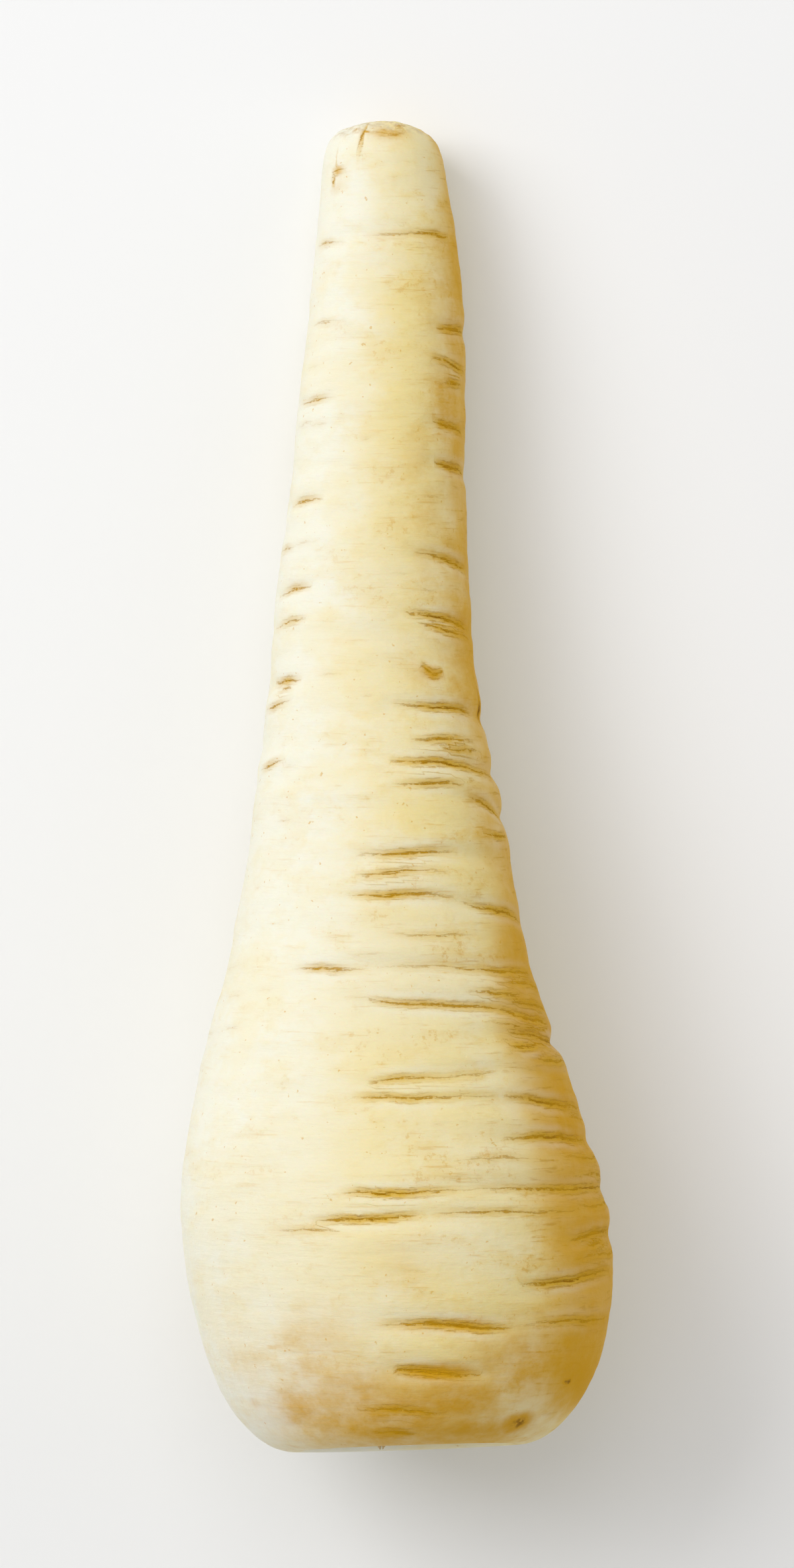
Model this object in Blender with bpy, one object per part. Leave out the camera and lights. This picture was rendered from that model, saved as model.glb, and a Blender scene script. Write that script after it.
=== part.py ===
"""A parsnip lying on its side: the taproot, the dried leaf stalk stubs in its crown and the pale buds.

The taproot runs along +Y from the crown to the trimmed tip, and rests on z = 0 with its bulge and
its tip. Seen from above with the tip away, +X is the right-hand side. The origin is the middle of
the footprint. The tables hold millimetres along the root from the crown's rim, and degrees round
it: 0 is the right-hand side, 90 the top, 180 the left-hand side, 270 the underside.
"""
import math

import bmesh
import bpy
import numpy as np

MM = 0.001

# Half of the root's thickness against the distance from the rim: floor and wall of the crown's
# hollow, rim, shoulder, bulge, neck, tail and the blunt trimmed tip.
OUTLINE = (
    (4.8, 0.0), (4.8, 5.0), (4.7, 9.6), (3.8, 11.0), (2.3, 11.6), (0.8, 12.4), (0.05, 13.6),
    (0.35, 15.5), (1.5, 17.6), (3.3, 19.5), (6.5, 21.8), (11.0, 23.7), (17.0, 25.1),
    (24.0, 25.75), (31.0, 25.35), (38.0, 23.95), (44.0, 22.4), (50.0, 20.6), (57.0, 18.5),
    (66.0, 16.7), (77.0, 14.95), (88.0, 13.1), (103.0, 11.75), (118.0, 10.5), (133.0, 9.8),
    (145.0, 8.75), (153.0, 7.75), (157.2, 7.05), (159.3, 6.0), (160.3, 4.5), (160.6, 0.0),
)
RIM_POINT = 6                       # the point of the outline on the crest of the rim
SHOULDER_POINT = 9                  # where the rim has turned into the shoulder
NECK_POINT = 19                     # where the bulge has narrowed to the long tail
TIP_POINT = 27                      # where the tail turns into the blunt tip

# Middle line of the root: height above the surface it rests on, and distance to the right.
HEIGHT = ((0, 27.8), (24, 25.3), (60, 21.3), (88, 17.0), (118, 12.3), (140, 9.0), (160.6, 6.15))
SIDEWAYS = ((0, 2.2), (10, 2.0), (20, 1.35), (32, 0.2), (50, -1.1), (75, -1.4), (95, -2.05),
            (118, -1.3), (140, -0.35), (160.6, -0.9))
CROWN_LEAN = -0.035                 # sideways slope of the middle line where the crown begins
LEAN_FADE = 70 * MM                 # the lean has gone this far from the crown
MIDDLE_Y = 79.8 * MM                # the origin stands this far along the root
MIDDLE_X = 0.93 * MM                # half of what the bulge stands further out on the right

# Furrows and pinched folds that show from a step away: distance from the rim at the left end and
# at the right end, angle of the left end and of the right end, depth, half width.
FURROWS = (
    (145.4, 146.0, 172, 25, 0.35, 1.2), (134.2, 135.0, 58, -12, 0.45, 1.2),
    (125.6, 125.4, 176, 118, 0.35, 1.2), (122.6, 122.3, 60, -5, 0.40, 1.2),
    (117.6, 117.6, 58, -15, 0.50, 1.2), (113.1, 113.2, 176, 122, 0.45, 1.2),
    (106.3, 105.4, 70, 0, 0.50, 1.2), (102.3, 102.4, 178, 122, 0.50, 1.2),
    (98.9, 98.0, 78, 5, 0.55, 1.2), (91.4, 91.0, 178, 128, 0.60, 1.2),
    (87.4, 87.6, 85, -20, 0.60, 1.3), (80.6, 81.2, 88, -50, 0.75, 1.3),
    (77.4, 74.8, 86, -45, 0.65, 1.3), (68.9, 69.8, 104, 20, 0.65, 1.3),
    (64.2, 63.2, 106, 0, 0.60, 1.3), (55.8, 56.2, 126, 15, 0.55, 1.3),
    (51.9, 50.6, 98, 0, 0.75, 1.4), (48.4, 48.2, 62, -70, 0.95, 1.4),
    (42.2, 43.6, 98, 45, 0.60, 1.4), (40.4, 39.8, 104, -10, 0.65, 1.4),
    (35.7, 36.8, 62, -55, 0.75, 1.5), (29.2, 30.8, 106, -50, 0.60, 1.5),
    (26.0, 26.5, 118, 52, 0.50, 1.5), (23.4, 25.6, 44, -20, 0.55, 1.5),
    (17.9, 20.4, 60, 0, 0.45, 1.5), (14.1, 13.1, 100, 54, 0.60, 1.5),
    (8.7, 7.6, 98, 60, 0.55, 1.4),
)
SEED = 11
HIDDEN_ROWS = (215.0, 325.0)        # the two rows of root scars on the far side
HIDDEN_STEP = (4.5, 9.5)            # mm from one scar to the next in a row
HIDDEN_HALF_SPAN = (16.0, 34.0)     # degrees
HIDDEN_DEPTH = (0.3, 0.6)
HIDDEN_WIDTH = 1.3
LIP = 0.32                          # how far a furrow's lips swell, of its depth
LIP_WIDTH = 3.0                     # how far they reach, of its half width

SEGMENTS = 48
CROWN_DEPTH = OUTLINE[0][0] * MM
GAP = 0.3 * MM

# Dried leaf stalk stubs: two rings of ragged sheaths on one thin collar.
COLLAR_INNER = 4.3 * MM
COLLAR_OUTER = 9.1 * MM
COLLAR_THICKNESS = 0.7 * MM
OUTER_SHEATHS = (7, 8.0, 3.3)       # how many, radius of the ring and mean height in millimetres
INNER_SHEATHS = (5, 5.6, 2.6)
SHEATH_HALF_THICKNESS = 0.75 * MM
STUB_SEGMENTS = 72
STUB_STEPS = 11

# Young buds in the middle: angle, distance from the middle, half width and height.
BUDS = ((75, 1.6, 1.9, 3.7), (205, 1.9, 1.7, 2.9), (320, 2.0, 1.6, 2.4))
BUDS_RADIUS = 3.95 * MM
BUDS_BASE = 0.6 * MM
BUD_SEGMENTS = 36


def remove_everything():
    """Empty the scene."""
    for existing in list(bpy.data.objects):
        bpy.data.objects.remove(existing)


def smooth_curve(knots, values, at):
    """Value at each place on a smooth curve through the knots: cubic pieces that share slopes."""
    slopes = np.gradient(values, knots)
    i = np.clip(np.searchsorted(knots, at) - 1, 0, len(knots) - 2)
    width = knots[i + 1] - knots[i]
    t = (at - knots[i]) / width
    ends = values[i] * (1 + 2 * t) * (1 - t) ** 2 + values[i + 1] * t ** 2 * (3 - 2 * t)
    return ends + width * (slopes[i] * t * (1 - t) ** 2 - slopes[i + 1] * t ** 2 * (1 - t))


def through(table, at):
    """Smooth curve through a table of (distance, value) pairs in millimetres."""
    knots, values = np.array(table, dtype=float).T * MM
    return smooth_curve(knots, values, at)


def smooth_step(low, high, value):
    """0 below low, 1 above high, and a soft S between them."""
    t = np.clip((value - low) / (high - low), 0, 1)
    return t * t * (3 - 2 * t)


def root_frame(along):
    """Middle line and the two directions of the cross section, for distances along the root."""
    slope = (through(HEIGHT, along + 2 * MM) - through(HEIGHT, along - 2 * MM)) / (4 * MM)
    lean = CROWN_LEAN * (1 - smooth_step(0, LEAN_FADE, along))
    forward = np.stack([lean, np.ones_like(along), slope], axis=-1)
    forward /= np.linalg.norm(forward, axis=-1, keepdims=True)
    right = np.cross(forward, (0, 0, 1))
    right /= np.linalg.norm(right, axis=-1, keepdims=True)
    up = np.cross(right, forward)
    middle = np.stack(
        [through(SIDEWAYS, along) - MIDDLE_X, along - MIDDLE_Y, through(HEIGHT, along)], axis=-1)
    return middle, forward, right, up


def hidden_furrows():
    """Root scars on the far side, placed in two rows by a seeded rule."""
    rng = np.random.default_rng(SEED)
    rows = []
    for row_angle in HIDDEN_ROWS:
        place = rng.uniform(9, 14)
        while place < 150:
            half = rng.uniform(*HIDDEN_HALF_SPAN)
            centre = row_angle + rng.uniform(-12, 12)
            slant = rng.uniform(-0.6, 0.6)
            depth = rng.uniform(*HIDDEN_DEPTH)
            rows.append((place, place + slant, centre + half, centre - half, depth, HIDDEN_WIDTH))
            place += rng.uniform(*HIDDEN_STEP)
    return rows


def furrow_relief(along, angle):
    """Depth of all furrows, negative, with the swollen skin on both sides of each, positive.

    Each furrow is a dent with a bell-shaped section across a line that runs part of the way
    round the root and fades out at both ends; a wider, lower bell lifts its lips.
    """
    relief = np.zeros(np.broadcast(along, angle).shape)
    for start, end, left, right, depth, half_width in (*FURROWS, *hidden_furrows()):
        turn = (angle - (left + right) / 2 + 180) % 360 - 180
        u = np.clip(0.5 - turn / (left - right), 0, 1)
        strength = np.sin(np.pi * u) ** 0.7
        line = (start + (end - start) * u) * MM
        offset = (along - line) / (half_width * MM)
        dent = np.exp(-offset ** 2)
        lip = LIP * np.exp(-(offset / LIP_WIDTH) ** 2)
        relief += depth * MM * strength * (lip - dent)
    return relief


def outline_stations():
    """Places along the outline curve at which the skin has its rings, ends left out."""
    points = np.array(OUTLINE) * MM
    chord = np.concatenate([[0], np.cumsum(np.linalg.norm(np.diff(points, axis=0), axis=1))])
    spans = ((0, RIM_POINT, 9), (RIM_POINT, SHOULDER_POINT, 5), (SHOULDER_POINT, NECK_POINT, 46),
             (NECK_POINT, TIP_POINT, 42), (TIP_POINT, len(OUTLINE) - 1, 5))
    stations = [np.linspace(chord[a], chord[b], n, endpoint=False) for a, b, n in spans]
    stations = np.concatenate(stations)[1:]
    return smooth_curve(chord, points[:, 0], stations), smooth_curve(chord, points[:, 1], stations)


def root_skin():
    """Rings of points of the taproot, from the floor of the crown's hollow to the tip."""
    along, radius = outline_stations()
    angle = np.arange(SEGMENTS) * 360 / SEGMENTS
    outside = (np.arange(len(along)) > RIM_POINT) * smooth_step(14 * MM, 18 * MM, radius)
    tail = smooth_step(30 * MM, 45 * MM, along)
    fade = np.maximum(outside, tail) * smooth_step(1 * MM, 6 * MM, radius)
    turn = np.radians(angle)[None, :]
    wave = along[:, None] / MM
    lobes = 0.011 * np.sin(2 * turn) * np.sin(wave / 12 + 1)
    lobes = lobes + 0.008 * np.sin(4 * turn) * np.sin(wave / 7)
    reach = radius[:, None] * (1 + lobes * fade[:, None])
    reach = reach + furrow_relief(along[:, None], angle[None, :]) * fade[:, None]
    middle, _, right, up = root_frame(along)
    spoke = np.cos(turn)[..., None] * right[:, None] + np.sin(turn)[..., None] * up[:, None]
    rings = middle[:, None] + reach[..., None] * spoke
    rings[..., 2] = np.maximum(rings[..., 2], 0)
    return rings


def object_from_rings(name, rings, poles, material):
    """Closed skin over rings of points: two end points close it, or the last ring meets the first."""
    count, segments = rings.shape[:2]
    points = [tuple(p) for p in rings.reshape(-1, 3)]
    faces = []
    for i in range(count if poles is None else count - 1):
        here = i * segments
        there = (i + 1) % count * segments
        for j in range(segments):
            k = (j + 1) % segments
            faces.append((here + j, there + j, there + k, here + k))
    if poles is not None:
        first = len(points)
        points.extend(tuple(p) for p in poles)
        last_ring = (count - 1) * segments
        for j in range(segments):
            k = (j + 1) % segments
            faces.append((first, j, k))
            faces.append((last_ring + j, first + 1, last_ring + k))
    mesh = bpy.data.meshes.new(name)
    mesh.from_pydata(points, [], faces)
    shape = bmesh.new()
    shape.from_mesh(mesh)
    bmesh.ops.recalc_face_normals(shape, faces=shape.faces)
    shape.to_mesh(mesh)
    shape.free()
    mesh.shade_smooth()
    mesh.materials.append(material)
    built = bpy.data.objects.new(name, mesh)
    bpy.context.scene.collection.objects.link(built)
    return built


def crown_points(radius, turn, rise):
    """Points in the crown: distance from its middle, angle round it, and rise out of the hollow."""
    middle, forward, right, up = root_frame(np.array([0.0]))
    spoke = np.cos(turn)[..., None] * right[0] + np.sin(turn)[..., None] * up[0]
    outwards = rise - CROWN_DEPTH + GAP
    return middle[0] + radius[..., None] * spoke - outwards[..., None] * forward[0]


def sheath_height(radius, turn, sheaths, rng):
    """Height over the collar of a ring of sheaths, each torn off at its own level."""
    count, ring_radius, mean_height = sheaths
    height = np.zeros(np.broadcast(radius, turn).shape)
    tilt = rng.uniform(0, 2 * np.pi)
    for i in range(count):
        centre = tilt + 2 * np.pi * i / count + rng.uniform(-0.12, 0.12)
        top = mean_height * MM * rng.uniform(0.55, 1.08)
        place = ring_radius * MM + rng.uniform(-0.35, 0.35) * MM
        frayed = rng.uniform(0, 2 * np.pi)
        away = (turn - centre + np.pi) % (2 * np.pi) - np.pi
        bend = place - 0.9 * MM * (away * count / np.pi) ** 2
        across = np.exp(-((radius - bend) / SHEATH_HALF_THICKNESS) ** 4)
        round_it = np.exp(-(away * count / (0.9 * np.pi)) ** 6)
        torn = 1 + 0.13 * np.sin(19 * turn + frayed) + 0.09 * np.sin(31 * turn - frayed)
        height = np.maximum(height, top * across * round_it * torn)
    return height


def stub_rings():
    """Ring after ring round the collar's section: along its underside, then back over the sheaths."""
    turn = np.arange(STUB_SEGMENTS) * 2 * np.pi / STUB_SEGMENTS
    top_radius = np.linspace(COLLAR_OUTER, COLLAR_INNER, STUB_STEPS)[:, None] + 0 * turn
    rng = np.random.default_rng(SEED)
    outer = sheath_height(top_radius, turn[None, :], OUTER_SHEATHS, rng)
    inner = sheath_height(top_radius, turn[None, :], INNER_SHEATHS, rng)
    rise = COLLAR_THICKNESS + np.maximum(outer, inner)
    under_radius = np.array([COLLAR_INNER, (COLLAR_INNER + COLLAR_OUTER) / 2, COLLAR_OUTER])
    under_radius = under_radius[:, None] + 0 * turn
    radius = np.concatenate([under_radius, top_radius])
    rise = np.concatenate([0 * under_radius, rise])
    spread = 1 + 0.12 * smooth_step(1 * MM, 5 * MM, rise)
    return crown_points(radius * spread, turn[None, :] + 0 * radius, rise)


def bud_rings():
    """Rings of the buds from the top of the middle, down over their outer wall, to the underside."""
    turn = np.arange(BUD_SEGMENTS) * 2 * np.pi / BUD_SEGMENTS
    top_radius = BUDS_RADIUS * np.linspace(0.1, 1.0, 9)[:, None] + 0 * turn
    x = top_radius * np.cos(turn)
    y = top_radius * np.sin(turn)
    rise = np.zeros_like(top_radius)
    for angle, distance, half_width, height in BUDS:
        bud_x = distance * MM * math.cos(math.radians(angle))
        bud_y = distance * MM * math.sin(math.radians(angle))
        away = np.hypot(x - bud_x, y - bud_y) / (half_width * MM)
        rise = np.maximum(rise, height * MM * np.exp(-away ** 2.6))
    rise = BUDS_BASE + rise * (1 - smooth_step(0.82, 1.0, top_radius / BUDS_RADIUS))
    under_radius = BUDS_RADIUS * np.array([1.0, 0.5])[:, None] + 0 * turn
    radius = np.concatenate([top_radius, under_radius])
    rise = np.concatenate([rise, 0 * under_radius])
    return crown_points(radius, turn[None, :] + 0 * radius, rise)


def surface_material(name, colour, roughness):
    """Principled material of one even colour."""
    material = bpy.data.materials.new(name)
    material.use_nodes = True
    shader = material.node_tree.nodes["Principled BSDF"]
    shader.inputs["Base Color"].default_value = (*colour, 1)
    shader.inputs["Roughness"].default_value = roughness
    shader.inputs["Metallic"].default_value = 0
    return material


def build_taproot():
    """The root itself, one solid from the rim of the crown to the trimmed tip."""
    ends = np.array([OUTLINE[0][0], OUTLINE[-1][0]]) * MM
    poles, _, _, _ = root_frame(ends)
    skin = surface_material("cream_skin", (0.80, 0.66, 0.38), 0.48)
    return object_from_rings("taproot", root_skin(), poles, skin)


def build_leaf_stalk_stubs():
    """What is left of the leaf stalks, dry and frayed, round the middle of the crown."""
    dry = surface_material("dry_stalk", (0.26, 0.18, 0.09), 0.85)
    return object_from_rings("leaf_stalk_stubs", stub_rings(), None, dry)


def build_crown_buds():
    """The young buds between the stubs."""
    rings = bud_rings()
    poles = np.stack([rings[0].mean(axis=0), rings[-1].mean(axis=0)])
    pale = surface_material("pale_bud", (0.78, 0.66, 0.42), 0.55)
    return object_from_rings("crown_buds", rings, poles, pale)


remove_everything()
build_taproot()
build_leaf_stalk_stubs()
build_crown_buds()
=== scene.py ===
import math

import bmesh
import bpy
import numpy as np
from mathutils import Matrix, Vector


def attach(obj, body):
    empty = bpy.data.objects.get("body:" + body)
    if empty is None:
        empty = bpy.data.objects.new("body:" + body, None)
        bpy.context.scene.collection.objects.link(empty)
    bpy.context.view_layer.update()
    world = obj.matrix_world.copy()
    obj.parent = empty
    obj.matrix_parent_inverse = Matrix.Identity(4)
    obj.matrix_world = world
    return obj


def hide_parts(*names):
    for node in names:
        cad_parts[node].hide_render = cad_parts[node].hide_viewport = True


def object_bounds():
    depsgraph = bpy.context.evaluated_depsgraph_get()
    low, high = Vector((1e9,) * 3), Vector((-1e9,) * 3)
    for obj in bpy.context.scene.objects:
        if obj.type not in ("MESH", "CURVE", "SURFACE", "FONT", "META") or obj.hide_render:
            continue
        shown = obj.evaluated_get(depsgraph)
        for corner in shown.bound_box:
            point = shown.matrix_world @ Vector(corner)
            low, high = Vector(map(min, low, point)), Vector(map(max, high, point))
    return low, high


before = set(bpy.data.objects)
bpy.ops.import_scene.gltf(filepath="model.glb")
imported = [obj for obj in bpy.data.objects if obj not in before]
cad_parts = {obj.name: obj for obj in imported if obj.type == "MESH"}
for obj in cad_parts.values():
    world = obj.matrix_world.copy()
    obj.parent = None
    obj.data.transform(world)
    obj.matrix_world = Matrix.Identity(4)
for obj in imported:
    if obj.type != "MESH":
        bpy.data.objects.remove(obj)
cad_low, cad_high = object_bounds()

# Taproot
# One grown root: thick rim round the crown's hollow, shoulder, bulge, tapering tail and a blunt
# trimmed tip. Its waxy cream skin is pinched into furrows that run part of the way round.
MM = 0.001
# Outline, mm: distance from the rim along the root, and radius.
OUTLINE = (
    (4.8, 0.0), (4.8, 5.0), (4.7, 9.6), (3.8, 11.0), (2.3, 11.6), (0.8, 12.4), (0.05, 13.6),
    (0.35, 15.5), (1.5, 17.6), (3.3, 19.5), (6.5, 21.8), (11.0, 23.7), (17.0, 25.1),
    (24.0, 25.75), (31.0, 25.35), (38.0, 23.95), (44.0, 22.4), (50.0, 20.6), (57.0, 18.5),
    (66.0, 16.7), (77.0, 14.95), (88.0, 13.1), (103.0, 11.75), (118.0, 10.5), (133.0, 9.8),
    (145.0, 8.75), (153.0, 7.75), (157.2, 7.05), (159.3, 6.0), (160.3, 4.5), (160.6, 0.0),
)
# Points of the outline, counted from 0, at which the spacing of the rings changes.
RIM_POINT = 6
SHOULDER_POINT = 9
NECK_POINT = 19
TIP_POINT = 27
# Middle line, mm: distance from the rim, and height or sideways place.
HEIGHT = ((0, 27.8), (24, 25.3), (60, 21.3), (88, 17.0), (118, 12.3), (140, 9.0), (160.6, 6.15))
SIDEWAYS = ((0, 2.2), (10, 2.0), (20, 1.35), (32, 0.2), (50, -1.1), (75, -1.4), (95, -2.05),
            (118, -1.3), (140, -0.35), (160.6, -0.9))
CROWN_LEAN = -0.035
LEAN_FADE = 70 * MM
MIDDLE_X = 0.93 * MM
MIDDLE_Y = 79.8 * MM

# Folds: mm from the rim at the left and right end, angle of both ends, depth, half width.
FOLDS = (
    (145.4, 146.0, 172, 25, 0.35, 1.2), (134.2, 135.0, 58, -12, 0.45, 1.2),
    (125.6, 125.4, 176, 118, 0.35, 1.2), (122.6, 122.3, 60, -5, 0.40, 1.2),
    (117.6, 117.6, 58, -15, 0.50, 1.2), (113.1, 113.2, 176, 122, 0.45, 1.2),
    (106.3, 105.4, 70, 0, 0.50, 1.2), (102.3, 102.4, 178, 122, 0.50, 1.2),
    (98.9, 98.0, 78, 5, 0.55, 1.2), (91.4, 91.0, 178, 128, 0.60, 1.2),
    (87.4, 87.6, 85, -20, 0.60, 1.3), (80.6, 81.2, 88, -50, 0.75, 1.3),
    (77.4, 74.8, 86, -45, 0.65, 1.3), (68.9, 69.8, 104, 20, 0.65, 1.3),
    (64.2, 63.2, 106, 0, 0.60, 1.3), (55.8, 56.2, 126, 15, 0.55, 1.3),
    (51.9, 50.6, 98, 0, 0.75, 1.4), (48.4, 48.2, 62, -70, 0.95, 1.4),
    (42.2, 43.6, 98, 45, 0.60, 1.4), (40.4, 39.8, 104, -10, 0.65, 1.4),
    (35.7, 36.8, 62, -55, 0.75, 1.5), (29.2, 30.8, 106, -50, 0.60, 1.5),
    (26.0, 26.5, 118, 52, 0.50, 1.5), (23.4, 25.6, 44, -20, 0.55, 1.5),
    (17.9, 20.4, 60, 0, 0.45, 1.5), (14.1, 13.1, 100, 54, 0.60, 1.5),
    (8.7, 7.6, 98, 60, 0.55, 1.4),
)
# Folds on the far side, in two rows: mm along the root, degrees round it.
HIDDEN_SEED = 11
HIDDEN_ROWS = (215.0, 325.0)
HIDDEN_FIRST = (9.0, 14.0)
HIDDEN_LAST = 150.0
HIDDEN_STEP = (4.5, 9.5)
HIDDEN_HALF_SPAN = (16.0, 34.0)
HIDDEN_SWAY = 12.0
HIDDEN_SLANT = 0.6
HIDDEN_DEPTH = (0.3, 0.6)
HIDDEN_WIDTH = 1.3
LIP = 0.32                          # height of a fold's lips, as a share of its depth
LIP_WIDTH = 3.0                     # width of a fold's lips, in half widths of the fold

# Cracks in the skin: mm from the rim at the left and right end, angle of both ends, depth, how
# dark, and where between the ends (0 to 1) the crack gapes most.
CRACKS = (
    (145.5, 144.9, 171, 123, 0.18, 0.35, 0.5), (145.4, 146.0, 112, 28, 0.22, 0.60, 0.9),
    (135.1, 135.1, 164, 115, 0.15, 0.28, 0.5), (134.2, 135.0, 50, 0, 0.35, 0.95, 0.4),
    (130.5, 129.7, 56, 10, 0.25, 0.75, 0.6), (127.6, 128.1, 43, 16, 0.22, 0.65, 0.5),
    (125.7, 125.4, 172, 121, 0.28, 0.42, 0.6), (122.6, 122.3, 52, 10, 0.30, 0.85, 0.4),
    (117.6, 117.6, 50, 0, 0.38, 1.00, 0.4), (113.1, 113.2, 166, 125, 0.38, 0.48, 0.6),
    (106.3, 105.4, 66, 14, 0.40, 0.70, 0.7), (107.9, 107.6, 180, 145, 0.22, 0.36, 0.6),
    (102.2, 102.4, 169, 127, 0.40, 0.52, 0.6), (98.9, 98.0, 74, 15, 0.40, 0.85, 0.5),
    (97.5, 96.7, 67, 17, 0.28, 0.65, 0.5), (98.3, 98.4, 173, 130, 0.38, 0.46, 0.7),
    (91.5, 91.0, 166, 132, 0.42, 0.60, 0.5), (90.5, 90.1, 160, 136, 0.28, 0.42, 0.5),
    (88.3, 88.5, 173, 137, 0.32, 0.46, 0.5), (87.4, 87.5, 81, 25, 0.42, 0.80, 0.6),
    (90.4, 86.4, 15, 8, 0.35, 0.95, 0.5), (83.0, 83.9, 74, 30, 0.35, 0.60, 0.4),
    (82.2, 82.6, 66, 24, 0.26, 0.45, 0.5), (80.4, 80.3, 85, 8, 0.50, 0.80, 0.3),
    (77.5, 78.1, 84, 44, 0.40, 0.60, 0.5), (76.9, 75.0, 44, 5, 0.40, 0.60, 0.5),
    (80.8, 81.4, 167, 139, 0.38, 0.48, 0.5), (72.3, 73.0, 39, 8, 0.30, 0.60, 0.5),
    (68.9, 69.7, 101, 52, 0.55, 0.62, 0.5), (66.5, 67.4, 101, 58, 0.38, 0.55, 0.4),
    (64.2, 64.4, 104, 55, 0.45, 0.64, 0.4), (63.7, 62.8, 56, 5, 0.30, 0.60, 0.5),
    (55.8, 55.5, 123, 92, 0.32, 0.52, 0.4), (55.7, 56.2, 92, 15, 0.34, 0.60, 0.9),
    (53.0, 53.4, 60, 26, 0.20, 0.45, 0.5), (51.9, 50.6, 95, 8, 0.60, 0.72, 0.15),
    (50.9, 50.2, 45, 8, 0.45, 0.75, 0.6), (48.4, 48.2, 43, -15, 0.60, 0.95, 0.5),
    (46.8, 47.3, 46, 23, 0.34, 0.70, 0.5), (42.2, 43.5, 95, 52, 0.45, 0.62, 0.15),
    (40.4, 40.6, 100, 53, 0.50, 0.60, 0.25), (40.6, 40.0, 53, 3, 0.38, 0.75, 0.5),
    (35.7, 36.3, 57, 8, 0.50, 0.80, 0.6), (29.2, 29.2, 104, 70, 0.50, 0.82, 0.35),
    (29.2, 30.6, 74, -5, 0.25, 0.75, 0.8), (26.0, 26.4, 114, 82, 0.45, 0.85, 0.55),
    (26.4, 27.4, 82, 20, 0.18, 0.45, 0.2), (23.6, 25.6, 38, 3, 0.45, 0.85, 0.5),
    (22.6, 24.4, 34, 8, 0.25, 0.60, 0.5), (17.9, 20.4, 57, 10, 0.35, 0.75, 0.4),
    (14.1, 13.1, 97, 58, 0.50, 0.95, 0.6), (8.7, 7.6, 94, 65, 0.50, 1.10, 0.15),
    (54.6, 54.9, 48, 5, 0.22, 0.50, 0.6), (52.6, 52.0, 50, 2, 0.22, 0.50, 0.7),
    (49.6, 49.0, 52, 5, 0.25, 0.55, 0.7), (47.7, 47.4, 50, 5, 0.25, 0.60, 0.7),
    (45.4, 45.9, 40, 0, 0.20, 0.45, 0.6), (38.6, 38.9, 42, 0, 0.18, 0.40, 0.8),
    (33.6, 34.3, 36, -5, 0.20, 0.45, 0.7), (31.4, 32.3, 32, -5, 0.20, 0.50, 0.7),
    (27.6, 28.9, 34, -5, 0.25, 0.60, 0.8), (21.2, 23.0, 38, 0, 0.25, 0.50, 0.6),
    (13.3, 14.8, 60, 8, 0.20, 0.45, 0.5), (25.4, 24.6, 126, 96, 0.15, 0.35, 0.4),
    (156.6, 159.4, 116, 109, 0.35, 0.85, 0.85), (154.0, 154.2, 148, 126, 0.20, 0.55, 0.4),
    (153.4, 154.8, 143, 140, 0.20, 0.65, 0.5), (152.6, 152.8, 147, 139, 0.20, 0.60, 0.5),
    (158.9, 158.3, 100, 78, 0.20, 0.50, 0.5), (157.9, 158.6, 92, 62, 0.15, 0.40, 0.5),
    (92.3, 91.0, 63, 51, 0.20, 0.85, 0.4), (91.0, 91.9, 61, 47, 0.20, 0.75, 0.5),
    (4.4, 3.5, 108, 75, 0.30, 0.80, 0.5), (1.7, 1.2, 104, 84, 0.22, 0.90, 0.5),
    (33.0, 33.3, 80, 40, 0.14, 0.30, 0.5), (59.5, 59.8, 90, 48, 0.16, 0.35, 0.5),
)
CRACK_HALF_WIDTH = 0.36             # mm, of the groove
CRACK_RELIEF = 0.30                 # share of a crack's depth that is cut into the mesh
CRACK_LIP_HEIGHT = 0.3              # share of the cut
CRACK_LIP_PLACE = 1.0               # mm beside the crack
CRACK_LIP_WIDTH = 0.5               # mm
CRACK_REACH = 4.5                   # mm to either side that a crack can touch
GAPE_LENGTH = 0.28                  # share of a crack's length that gapes
MARK_HALF_WIDTH = 1.3               # mm, of the marked skin beside a crack
FARTHEST = 3.0                      # mm, the largest distance from a crack that is kept
CRACK_SEED = 4
HAIRLINES = 330
HAIRLINE_PLACE = (5.0, 157.0)
HAIRLINE_HALF_SPAN = (3.0, 16.0)
HAIRLINE_SLANT = 0.25
HAIRLINE_DARK = (0.04, 0.26)
HAIRLINE_DEPTH = (0.02, 0.09)
TAIL_START = 70.0                   # mm; hairlines past it reach farther round the thin tail
TAIL_SPAN = 1.4

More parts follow.
